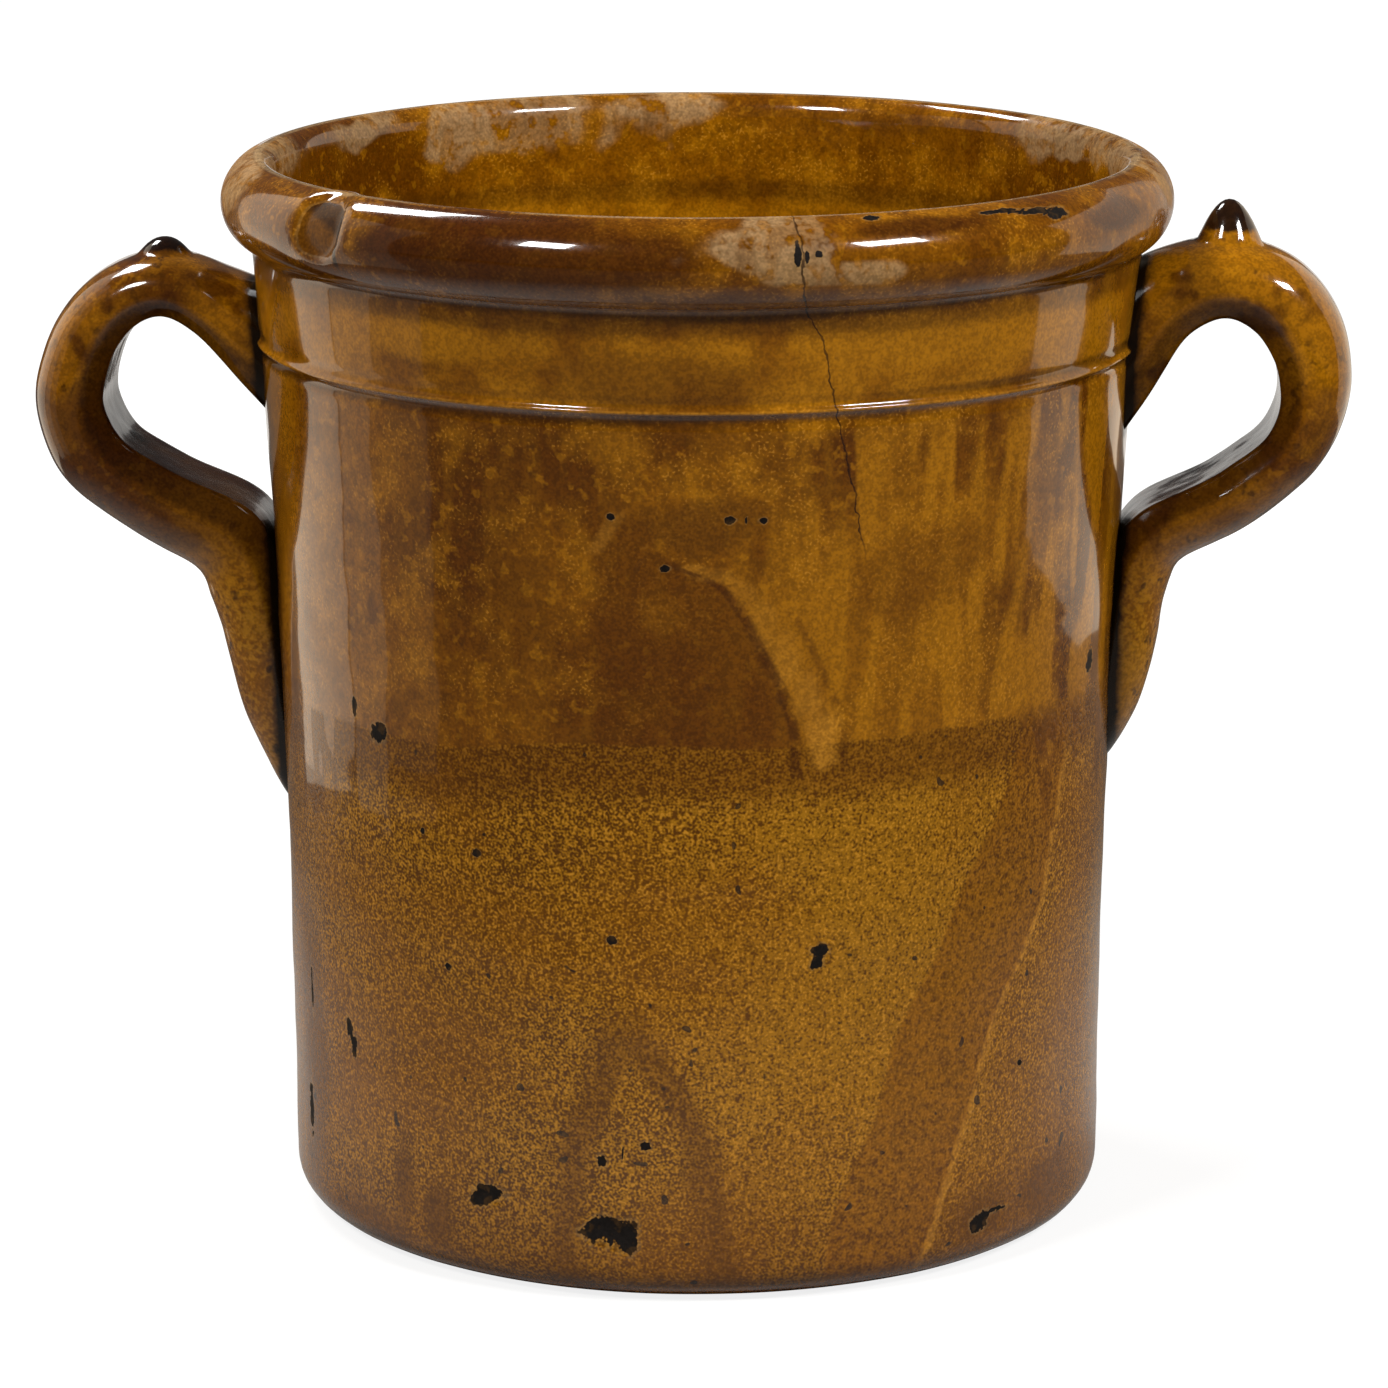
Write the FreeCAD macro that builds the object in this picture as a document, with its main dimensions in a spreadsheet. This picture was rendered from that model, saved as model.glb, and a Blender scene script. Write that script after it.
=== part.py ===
# Glazed earthenware preserve jar with two pulled strap handles.
# The body was thrown in one piece, the handles were luted on before firing, and fire and glaze made
# them one with it, so the jar is one solid.
# Millimetres, Z up, origin at the middle of the foot, handles along X.
import FreeCAD, Part
import math
import os

import Sketcher

vector = FreeCAD.Vector
upright = vector(0, 0, 1)

# Driving sizes in millimetres
sizes = {
    # thrown body: insets from the outside of the rim to the outside of the wall, drops below its top
    "rim_height": 271.5,
    "rim_radius": 120.0,
    "roll_radius": 11.4,
    "crest_in": 9.0,
    "lip_in": 4.6,
    "lip_drop": 6.0,
    "neck_in": 8.1,
    "neck_drop": 24.5,
    "neck_round": 4.0,
    "waist_in": 14.8,
    "waist_height": 110.0,
    "foot_in": 16.0,
    "foot_round": 10.0,
    # cordon line round the shoulder
    "cordon_drop": 46.9,
    "cordon_proud": 0.9,
    "cordon_wide": 6.0,
    # hollow
    "floor_thick": 9.0,
    "floor_round": 14.0,
    "foot_wall": 7.4,
    "waist_wall": 6.6,
    # share of a strap's thickness that lies inward of its widest line
    "strap_belly": 0.35,
    # width of the strap along its length, the same on both handles
    "root_wide": 42.0,
    "throat_wide": 39.0,
    "rise_wide": 35.5,
    "crown_wide": 33.0,
    "shoulder_wide": 33.0,
    "flank_wide": 33.5,
    "bow_wide": 34.0,
    "elbow_wide": 34.0,
    "landing_wide": 34.0,
    "heel_wide": 35.0,
    "tail_wide": 33.0,
    "pad_wide": 27.0,
    "tip_wide": 14.0,
    # left strap: middle of its section off the wall, drop below the rim, lean in degrees, thickness
    "left_root_stand": -8.6,
    "left_root_drop": 52.5,
    "left_root_lean": 14.0,
    "left_root_thick": 27.0,
    "left_throat_stand": 1.8,
    "left_throat_drop": 45.2,
    "left_throat_lean": 15.0,
    "left_throat_thick": 23.0,
    "left_rise_stand": 10.7,
    "left_rise_drop": 39.1,
    "left_rise_lean": 20.0,
    "left_rise_thick": 16.2,
    "left_crown_stand": 23.4,
    "left_crown_drop": 33.1,
    "left_crown_lean": 7.0,
    "left_crown_thick": 14.2,
    "left_shoulder_stand": 35.6,
    "left_shoulder_drop": 37.3,
    "left_shoulder_lean": -42.0,
    "left_shoulder_thick": 14.8,
    "left_flank_stand": 44.9,
    "left_flank_drop": 46.8,
    "left_flank_lean": -58.0,
    "left_flank_thick": 16.4,
    "left_bow_stand": 51.6,
    "left_bow_drop": 64.0,
    "left_bow_lean": -92.0,
    "left_bow_thick": 17.8,
    "left_elbow_stand": 46.8,
    "left_elbow_drop": 79.8,
    "left_elbow_lean": -124.0,
    "left_elbow_thick": 19.3,
    "left_landing_stand": 28.4,
    "left_landing_drop": 93.5,
    "left_landing_lean": -153.0,
    "left_landing_thick": 20.4,
    "left_heel_stand": 12.1,
    "left_heel_drop": 102.1,
    "left_heel_lean": -138.0,
    "left_heel_thick": 22.2,
    "left_tail_stand": 6.5,
    "left_tail_drop": 121.0,
    "left_tail_lean": -93.0,
    "left_tail_thick": 20.9,
    "left_pad_stand": 3.5,
    "left_pad_drop": 144.0,
    "left_pad_lean": -95.0,
    "left_pad_thick": 17.4,
    "left_tip_stand": -1.7,
    "left_tip_drop": 172.5,
    "left_tip_lean": -102.0,
    "left_tip_thick": 8.0,
    # right strap, thicker at its crown and taller at its root
    "right_root_stand": -8.0,
    "right_root_drop": 57.9,
    "right_root_lean": 11.0,
    "right_root_thick": 28.4,
    "right_throat_stand": 0.1,
    "right_throat_drop": 44.5,
    "right_throat_lean": 17.0,
    "right_throat_thick": 28.5,
    "right_rise_stand": 7.8,
    "right_rise_drop": 34.8,
    "right_rise_lean": 22.5,
    "right_rise_thick": 19.2,
    "right_crown_stand": 22.2,
    "right_crown_drop": 29.4,
    "right_crown_lean": 1.0,
    "right_crown_thick": 18.2,
    "right_shoulder_stand": 36.4,
    "right_shoulder_drop": 34.8,
    "right_shoulder_lean": -36.0,
    "right_shoulder_thick": 19.1,
    "right_flank_stand": 45.0,
    "right_flank_drop": 47.0,
    "right_flank_lean": -58.0,
    "right_flank_thick": 19.7,
    "right_bow_stand": 47.9,
    "right_bow_drop": 61.3,
    "right_bow_lean": -84.0,
    "right_bow_thick": 16.9,
    "right_elbow_stand": 44.1,
    "right_elbow_drop": 75.3,
    "right_elbow_lean": -116.0,
    "right_elbow_thick": 14.6,
    "right_landing_stand": 27.8,
    "right_landing_drop": 88.4,
    "right_landing_lean": -152.0,
    "right_landing_thick": 16.5,
    "right_heel_stand": 9.2,
    "right_heel_drop": 98.2,
    "right_heel_lean": -138.0,
    "right_heel_thick": 16.3,
    "right_tail_stand": 3.7,
    "right_tail_drop": 114.5,
    "right_tail_lean": -90.0,
    "right_tail_thick": 16.6,
    "right_pad_stand": 0.5,
    "right_pad_drop": 134.5,
    "right_pad_lean": -97.0,
    "right_pad_thick": 14.4,
    "right_tip_stand": -5.4,
    "right_tip_drop": 159.5,
    "right_tip_lean": -108.0,
    "right_tip_thick": 10.0,
    # clay knobs on the crowns
    "knob_sink": 4.0,
    "left_knob_shift": 1.4,
    "left_knob_radius": 6.2,
    "left_knob_rise": 3.4,
    "left_knob_tip": 5.0,
    "right_knob_shift": 0.6,
    "right_knob_radius": 7.6,
    "right_knob_rise": 8.6,
    "right_knob_tip": 3.0,
}
stations = ["root", "throat", "rise", "crown", "shoulder", "flank", "bow",
            "elbow", "landing", "heel", "tail", "pad", "tip"]
# which way each handle reaches along X
handOf = {"left": -1, "right": 1}

document = FreeCAD.newDocument("PreserveJar")
sheet = document.addObject("Spreadsheet::Sheet", "Sizes")
for row, (alias, number) in enumerate(sizes.items(), start=1):
    sheet.set(f"A{row}", alias)
    sheet.set(f"B{row}", str(number))
    sheet.setAlias(f"B{row}", alias)
document.recompute()


def value(expression):
    """What a sheet expression comes to, as a plain number."""
    result = sheet.evalExpression(expression.replace("Sizes.", ""))
    return float(getattr(result, "Value", result))


def newBody(name):
    return document.addObject("PartDesign::Body", name)


def profileSketch(body, name):
    """Sketch on the body's own front plane: across is the radius, up is the height."""
    sketch = body.newObject("Sketcher::SketchObject", name)
    plane = next(item for item in body.Origin.OriginFeatures if item.Role == "XZ_Plane")
    sketch.AttachmentSupport = [(plane, "")]
    sketch.MapMode = "FlatFace"
    return sketch


def bind(sketch, constraint, expression):
    """Add a sizing constraint that follows the sheet."""
    index = sketch.addConstraint(constraint)
    sketch.setExpression(f"Constraints[{index}]", expression)


def pin(sketch, geometry, end, across, up):
    """Hold one point of a sketch at two sheet expressions, measured from its origin."""
    bind(sketch, Sketcher.Constraint("DistanceX", -1, 1, geometry, end, value(across)), across)
    bind(sketch, Sketcher.Constraint("DistanceY", -1, 1, geometry, end, value(up)), up)


def join(sketch, first, firstEnd, second, secondEnd):
    sketch.addConstraint(Sketcher.Constraint("Coincident", first, firstEnd, second, secondEnd))


def line(sketch, start, end):
    return sketch.addGeometry(Part.LineSegment(start, end))


def arc(sketch, centre, start, end):
    """Arc turning anticlockwise from start to end."""
    radius = centre.distanceToPoint(start)
    first = math.atan2(start.y - centre.y, start.x - centre.x)
    last = math.atan2(end.y - centre.y, end.x - centre.x)
    if last < first:
        last += 2 * math.pi
    return sketch.addGeometry(Part.ArcOfCircle(Part.Circle(centre, upright, radius), first, last))


def arcCentre(start, middle, end):
    return Part.Circle(start, middle, end).Center


def closeOnAxis(sketch, lower, upper, upperEnd):
    """Run from the end of the upper edge to the axis and down it to the start of the lower edge."""
    geometry = sketch.Geometry
    top = geometry[upper].EndPoint if upperEnd == 2 else geometry[upper].StartPoint
    over = line(sketch, top, vector(0, top.y, 0))
    axis = line(sketch, vector(0, top.y, 0), geometry[lower].StartPoint)
    join(sketch, upper, upperEnd, over, 1)
    join(sketch, over, 2, axis, 1)
    join(sketch, axis, 2, lower, 1)
    sketch.addConstraint(Sketcher.Constraint("Horizontal", over))
    sketch.addConstraint(Sketcher.Constraint("Vertical", axis))


def turn(body, name, sketch):
    """Turn a profile once round the upright axis of its sketch."""
    feature = body.newObject("PartDesign::Revolution", name)
    feature.Profile = sketch
    feature.ReferenceAxis = (sketch, ["V_Axis"])
    feature.Angle = 360.0
    return feature


# Heights and radii that several features share
neckHeight = "(Sizes.rim_height - Sizes.neck_drop)"
crestRadius = "(Sizes.rim_radius - Sizes.crest_in)"
lipRadius = f"({crestRadius} - Sizes.lip_in)"
neckRadius = "(Sizes.rim_radius - Sizes.neck_in)"
waistRadius = "(Sizes.rim_radius - Sizes.waist_in)"
footRadius = "(Sizes.rim_radius - Sizes.foot_in)"
rollReach = "(Sizes.rim_radius - Sizes.roll_radius)"
rollHeight = "(Sizes.rim_height - sqrt(Sizes.roll_radius ^ 2 - (Sizes.roll_radius - Sizes.crest_in) ^ 2))"
lowerSlope = "((Sizes.foot_in - Sizes.waist_in) / (Sizes.waist_height - Sizes.foot_round))"
upperSlope = f"((Sizes.waist_in - Sizes.neck_in) / ({neckHeight} - Sizes.waist_height))"
wallBend = f"(({upperSlope} - {lowerSlope}) / ({neckHeight} - Sizes.foot_round))"


def wallAt(height):
    """Outside radius of the wall at a height, along its sweep through foot, waist and neck."""
    return (f"({footRadius} + ({height} - Sizes.foot_round)"
            f" * ({lowerSlope} + {wallBend} * ({height} - Sizes.waist_height)))")


def heightOf(side, station):
    return f"(Sizes.rim_height - Sizes.{side}_{station}_drop)"


def reachOf(side, station):
    return f"({wallAt(heightOf(side, station))} + Sizes.{side}_{station}_stand)"


def thrownBody(body):
    """Outside of the pot, still solid: rounded foot, sweeping wall, cove and rolled rim."""
    sketch = profileSketch(body, "ThrownProfile")
    footRound = value("Sizes.foot_round")
    footCentre = vector(value(footRadius) - footRound, footRound, 0)
    footTop = footCentre + vector(footRound, 0, 0)
    waistPoint = vector(value(waistRadius), value("Sizes.waist_height"), 0)
    neckPoint = vector(value(neckRadius), value(neckHeight), 0)
    rollCentre = vector(value(rollReach), value(rollHeight), 0)
    crestPoint = vector(value(crestRadius), value("Sizes.rim_height"), 0)
    coveRadius = value("Sizes.neck_round")
    rollRadius = value("Sizes.roll_radius")
    coveOut = neckPoint.x + coveRadius - rollCentre.x
    coveDown = math.sqrt((rollRadius + coveRadius) ** 2 - coveOut ** 2)
    coveCentre = rollCentre + vector(coveOut, -coveDown, 0)
    coveTop = rollCentre + (coveCentre - rollCentre) * (rollRadius / (rollRadius + coveRadius))
    coveFoot = coveCentre - vector(coveRadius, 0, 0)

    base = line(sketch, vector(), footCentre - vector(0, footRound, 0))
    foot = arc(sketch, footCentre, footCentre - vector(0, footRound, 0), footTop)
    wall = arc(sketch, arcCentre(footTop, waistPoint, neckPoint), coveFoot, footTop)
    cove = arc(sketch, coveCentre, coveTop, coveFoot)
    roll = arc(sketch, rollCentre, coveTop, crestPoint)
    waist = sketch.addGeometry(Part.Point(waistPoint), True)
    neck = sketch.addGeometry(Part.Point(neckPoint), True)

    join(sketch, base, 1, -1, 1)
    sketch.addConstraint(Sketcher.Constraint("Horizontal", base))
    join(sketch, base, 2, foot, 1)
    pin(sketch, foot, 3, f"{footRadius} - Sizes.foot_round", "Sizes.foot_round")
    sketch.addConstraint(Sketcher.Constraint("Vertical", foot, 1, foot, 3))
    sketch.addConstraint(Sketcher.Constraint("Horizontal", foot, 2, foot, 3))
    join(sketch, wall, 2, foot, 2)
    pin(sketch, waist, 1, waistRadius, "Sizes.waist_height")
    pin(sketch, neck, 1, neckRadius, neckHeight)
    sketch.addConstraint(Sketcher.Constraint("PointOnObject", waist, 1, wall))
    sketch.addConstraint(Sketcher.Constraint("PointOnObject", neck, 1, wall))
    sketch.addConstraint(Sketcher.Constraint("Tangent", wall, 1, cove, 2))
    bind(sketch, Sketcher.Constraint("Radius", cove, coveRadius), "Sizes.neck_round")
    sketch.addConstraint(Sketcher.Constraint("Tangent", cove, 1, roll, 1))
    bind(sketch, Sketcher.Constraint("DistanceX", -1, 1, roll, 3, rollCentre.x), rollReach)
    bind(sketch, Sketcher.Constraint("Radius", roll, rollRadius), "Sizes.roll_radius")
    pin(sketch, roll, 2, crestRadius, "Sizes.rim_height")
    closeOnAxis(sketch, base, roll, 2)
    turn(body, "ThrownBody", sketch)


def cordon(body):
    """Thin raised line left by the thrower's rib round the shoulder."""
    sketch = profileSketch(body, "CordonProfile")
    height = "(Sizes.rim_height - Sizes.cordon_drop)"
    seat = f"({wallAt(height)} - Sizes.cordon_proud)"
    crest = f"({wallAt(height)} + Sizes.cordon_proud)"
    below = f"({height} - Sizes.cordon_wide / 2)"
    above = f"({height} + Sizes.cordon_wide / 2)"
    low = vector(value(seat), value(below), 0)
    high = vector(value(seat), value(above), 0)
    middle = vector(value(crest), value(height), 0)
    bead = arc(sketch, arcCentre(low, middle, high), low, high)
    back = line(sketch, high, low)
    join(sketch, bead, 2, back, 1)
    join(sketch, back, 2, bead, 1)
    pin(sketch, bead, 1, seat, below)
    pin(sketch, bead, 2, seat, above)
    top = sketch.addGeometry(Part.Point(middle), True)
    pin(sketch, top, 1, crest, height)
    sketch.addConstraint(Sketcher.Constraint("PointOnObject", top, 1, bead))
    turn(body, "Cordon", sketch)


def strapSection(side, station):
    """One section across a strap: flat towards the fingers, elliptical on its outside."""
    height = heightOf(side, station)
    reach = reachOf(side, station)
    sketch = document.addObject("Sketcher::SketchObject", f"{side.capitalize()}{station.capitalize()}")
    # local x runs across the strap along the jar's Y, local y away from the fingers
    sketch.setExpression("Placement",
                         f"placement(vector({handOf[side]} * {reach}; 0; {height});"
                         f" rotation(vector(0; 1; 0); {-handOf[side]} * Sizes.{side}_{station}_lean))"
                         f" * placement(vector(0; 0; 0); rotation(vector(1; 1; 1); 120))")

    wide = f"Sizes.{station}_wide"
    thick = f"Sizes.{side}_{station}_thick"
    belly = "Sizes.strap_belly"
    inwardShare = value(belly)
    acrossHalf = value(wide) / 2
    outHalf = value(thick) * (1 - inwardShare)
    flatDown = value(thick) / 2
    middle = vector(0, value(thick) * (inwardShare - 0.5), 0)
    flatHalf = acrossHalf * math.sqrt(1 - (inwardShare / (1 - inwardShare)) ** 2)
    # the long axis lies across the strap, so 2 * (1 - strap_belly) * thickness stays under its width
    ellipse = Part.Ellipse(middle + vector(acrossHalf, 0, 0), middle + vector(0, outHalf, 0), middle)
    flatLeft = vector(-flatHalf, -flatDown, 0)
    flatRight = vector(flatHalf, -flatDown, 0)
    first = ellipse.parameter(flatRight)
    last = ellipse.parameter(flatLeft)
    back = sketch.addGeometry(Part.ArcOfEllipse(ellipse, first, last))
    flat = line(sketch, flatLeft, flatRight)
    major = sketch.GeometryCount
    minor = major + 1
    sketch.exposeInternalGeometry(back)
    join(sketch, back, 2, flat, 1)
    join(sketch, back, 1, flat, 2)
    sketch.addConstraint(Sketcher.Constraint("Horizontal", flat))
    sketch.addConstraint(Sketcher.Constraint("Horizontal", major))
    sketch.addConstraint(Sketcher.Constraint("PointOnObject", back, 3, -2))
    bind(sketch, Sketcher.Constraint("Distance", major, 2 * acrossHalf), wide)
    bind(sketch, Sketcher.Constraint("Distance", minor, 2 * outHalf), f"{thick} * 2 * (1 - {belly})")
    bind(sketch, Sketcher.Constraint("DistanceY", back, 3, -1, 1, -middle.y), f"{thick} * (0.5 - {belly})")
    bind(sketch, Sketcher.Constraint("DistanceY", flat, 1, -1, 1, flatDown), f"{thick} / 2")
    return sketch


def strap(side):
    """Pulled handle: luted root under the rim, loop for the fingers, tail pressed down the wall."""
    loft = document.addObject("Part::Loft", f"{side.capitalize()}Strap")
    loft.Sections = [strapSection(side, station) for station in stations]
    loft.Solid = True
    loft.MaxDegree = 3
    return loft


def knob(side):
    """Small cone of clay with a round tip on the crown of a strap, its skirt sunk into the strap."""
    body = newBody(f"{side.capitalize()}Knob")
    body.setExpression("Placement", f"placement(vector({handOf[side]} * ({reachOf(side, 'crown')}"
                                    f" + Sizes.{side}_knob_shift); 0;"
                                    f" {heightOf(side, 'crown')} + Sizes.{side}_crown_thick / 2);"
                                    f" rotation(vector(0; 0; 1); 0))")
    sketch = profileSketch(body, f"{side.capitalize()}KnobProfile")
    radius, rise = f"Sizes.{side}_knob_radius", f"Sizes.{side}_knob_rise"
    tip, sink = f"Sizes.{side}_knob_tip", "Sizes.knob_sink"
    foot = vector(value(radius), 0, 0)
    tipCentre = vector(0, value(rise) - value(tip), 0)
    apex = vector(0, value(rise), 0)
    # the flank passes through the foot point and meets the round tip at a tangent
    span = tipCentre.distanceToPoint(foot)
    slant = math.atan2(foot.y - tipCentre.y, foot.x) + math.acos(value(tip) / span)
    shoulder = tipCentre + vector(math.cos(slant), math.sin(slant), 0) * value(tip)
    skirt = foot + (foot - shoulder) * (value(sink) / shoulder.y)

    base = line(sketch, vector(0, skirt.y, 0), skirt)
    flank = line(sketch, skirt, shoulder)
    cap = arc(sketch, tipCentre, shoulder, apex)
    axis = line(sketch, apex, vector(0, skirt.y, 0))
    through = sketch.addGeometry(Part.Point(foot), True)
    join(sketch, base, 2, flank, 1)
    sketch.addConstraint(Sketcher.Constraint("Tangent", flank, 2, cap, 1))
    join(sketch, cap, 2, axis, 1)
    join(sketch, axis, 2, base, 1)
    sketch.addConstraint(Sketcher.Constraint("Horizontal", base))
    sketch.addConstraint(Sketcher.Constraint("PointOnObject", base, 1, -2))
    sketch.addConstraint(Sketcher.Constraint("PointOnObject", cap, 3, -2))
    sketch.addConstraint(Sketcher.Constraint("PointOnObject", cap, 2, -2))
    sketch.addConstraint(Sketcher.Constraint("PointOnObject", through, 1, -1))
    sketch.addConstraint(Sketcher.Constraint("PointOnObject", through, 1, flank))
    bind(sketch, Sketcher.Constraint("DistanceX", -1, 1, through, 1, value(radius)), radius)
    bind(sketch, Sketcher.Constraint("DistanceY", base, 1, -1, 1, value(sink)), sink)
    bind(sketch, Sketcher.Constraint("DistanceY", -1, 1, cap, 2, value(rise)), rise)
    bind(sketch, Sketcher.Constraint("Radius", cap, value(tip)), tip)
    turn(body, f"{side.capitalize()}KnobTurned", sketch)
    return body


def hollow():
    """Room inside: flat floor, rounded corner, wall that thins upward, lip rounded over to the crest."""
    body = newBody("Hollow")
    sketch = profileSketch(body, "HollowProfile")
    cornerRound = value("Sizes.floor_round")
    floor, footInside = "Sizes.floor_thick", f"({footRadius} - Sizes.foot_wall)"
    waistInside = f"({waistRadius} - Sizes.waist_wall)"
    lipHeight = "(Sizes.rim_height - Sizes.lip_drop)"
    # lip round: stands upright at the lip and passes through the crest
    lipRound = "((Sizes.lip_in ^ 2 + Sizes.lip_drop ^ 2) / (2 * Sizes.lip_in))"
    cornerCentre = vector(value(footInside) - cornerRound, value(floor) + cornerRound, 0)
    cornerTop = cornerCentre + vector(cornerRound, 0, 0)
    waistPoint = vector(value(waistInside), value("Sizes.waist_height"), 0)
    lipPoint = vector(value(lipRadius), value(lipHeight), 0)
    crestPoint = vector(value(crestRadius), value("Sizes.rim_height"), 0)

    base = line(sketch, vector(0, value(floor), 0), cornerCentre - vector(0, cornerRound, 0))
    corner = arc(sketch, cornerCentre, cornerCentre - vector(0, cornerRound, 0), cornerTop)
    wall = arc(sketch, arcCentre(cornerTop, waistPoint, lipPoint), lipPoint, cornerTop)
    lip = arc(sketch, lipPoint + vector(value(lipRound), 0, 0), crestPoint, lipPoint)
    clear = line(sketch, crestPoint, crestPoint + vector(0, value("Sizes.lip_drop"), 0))
    waist = sketch.addGeometry(Part.Point(waistPoint), True)

    sketch.addConstraint(Sketcher.Constraint("PointOnObject", base, 1, -2))
    bind(sketch, Sketcher.Constraint("DistanceY", -1, 1, base, 1, value(floor)), floor)
    sketch.addConstraint(Sketcher.Constraint("Horizontal", base))
    join(sketch, base, 2, corner, 1)
    sketch.addConstraint(Sketcher.Constraint("Vertical", corner, 1, corner, 3))
    sketch.addConstraint(Sketcher.Constraint("Horizontal", corner, 2, corner, 3))
    bind(sketch, Sketcher.Constraint("DistanceX", -1, 1, corner, 2, value(footInside)), footInside)
    bind(sketch, Sketcher.Constraint("Radius", corner, cornerRound), "Sizes.floor_round")
    join(sketch, wall, 2, corner, 2)
    pin(sketch, waist, 1, waistInside, "Sizes.waist_height")
    sketch.addConstraint(Sketcher.Constraint("PointOnObject", waist, 1, wall))
    pin(sketch, wall, 1, lipRadius, lipHeight)
    join(sketch, lip, 2, wall, 1)
    sketch.addConstraint(Sketcher.Constraint("Horizontal", lip, 2, lip, 3))
    pin(sketch, lip, 1, crestRadius, "Sizes.rim_height")
    join(sketch, lip, 1, clear, 1)
    sketch.addConstraint(Sketcher.Constraint("Vertical", clear))
    bind(sketch, Sketcher.Constraint("DistanceY", clear, 1, clear, 2, value("Sizes.lip_drop")),
         "Sizes.lip_drop")
    closeOnAxis(sketch, base, clear, 2)
    turn(body, "HollowTurned", sketch)
    return body


thrown = newBody("Thrown")
thrownBody(thrown)
cordon(thrown)
joined = document.addObject("Part::MultiFuse", "ThrownAndLuted")
joined.Shapes = [thrown] + [make(side) for make in (strap, knob) for side in handOf]
jar = document.addObject("Part::Cut", "jar")
jar.Base = joined
jar.Tool = hollow()
jar.Label = "jar"
document.recompute()

for item in document.Objects:
    if "Invalid" in item.State or "Error" in item.State:
        raise RuntimeError(f"{item.Label} failed: {item.State}")
    if item.TypeId == "Sketcher::SketchObject" and not item.FullyConstrained:
        raise RuntimeError(f"{item.Label} is not fully constrained")
if jar.Shape.isNull() or not jar.Shape.isValid() or len(jar.Shape.Solids) != 1:
    raise RuntimeError("the jar is not one valid solid")
os.makedirs("parts", exist_ok=True)
jar.Shape.exportStep(f"parts/{jar.Label}.step")
print(f"{jar.Label}: {jar.Shape.Volume / 1e6:.3f} litres of clay, {len(jar.Shape.Faces)} faces")
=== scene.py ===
# Preserve jar: wide mouth, rolled rim, cordon line, two pulled strap handles, honey-brown lead glaze
import math

import bmesh
import bpy
import numpy as np
from mathutils import Matrix, Vector
from mathutils.kdtree import KDTree


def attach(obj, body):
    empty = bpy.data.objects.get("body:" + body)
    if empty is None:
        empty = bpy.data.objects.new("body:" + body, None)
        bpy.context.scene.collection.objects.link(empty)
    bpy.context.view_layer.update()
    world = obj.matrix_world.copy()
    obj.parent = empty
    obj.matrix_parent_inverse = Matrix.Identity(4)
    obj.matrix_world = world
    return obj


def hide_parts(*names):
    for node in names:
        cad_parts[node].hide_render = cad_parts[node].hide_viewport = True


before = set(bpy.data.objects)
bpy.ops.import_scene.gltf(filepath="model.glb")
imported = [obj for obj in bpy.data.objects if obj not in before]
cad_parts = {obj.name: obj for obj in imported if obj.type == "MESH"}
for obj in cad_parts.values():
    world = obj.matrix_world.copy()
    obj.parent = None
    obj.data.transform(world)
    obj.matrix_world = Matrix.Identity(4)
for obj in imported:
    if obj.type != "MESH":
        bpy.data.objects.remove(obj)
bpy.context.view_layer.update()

mm = 0.001


# ---- node trees written as expressions
class Wire:                                   # one output socket of a node
    def __init__(self, wires, socket):
        self.wires, self.socket = wires, socket

    def math(self, operation, *others):
        return self.wires.math(operation, self, *others)

    def __add__(self, other): return self.wires.math("ADD", self, other)
    def __radd__(self, other): return self.wires.math("ADD", other, self)
    def __sub__(self, other): return self.wires.math("SUBTRACT", self, other)
    def __rsub__(self, other): return self.wires.math("SUBTRACT", other, self)
    def __mul__(self, other): return self.wires.math("MULTIPLY", self, other)
    def __truediv__(self, other): return self.wires.math("DIVIDE", self, other)
    def __pow__(self, other): return self.wires.math("POWER", self, other)
    def __neg__(self): return self.wires.math("MULTIPLY", self, -1.0)

    def rise(self, low, high):                # 0 below low, 1 above high, soft between
        return self.wires.node("ShaderNodeMapRange", {"interpolation_type": "SMOOTHSTEP"},
                               {"Value": self, "From Min": low, "From Max": high})

    def fall(self, low, high):                # 1 below low, 0 above high
        return self.wires.node("ShaderNodeMapRange", {"interpolation_type": "SMOOTHSTEP"},
                               {"Value": self, "From Min": low, "From Max": high,
                                "To Min": 1.0, "To Max": 0.0})

    def within(self, low, high, soft):        # 1 between low and high
        return self.rise(low - soft, low + soft) * self.fall(high - soft, high + soft)


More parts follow.
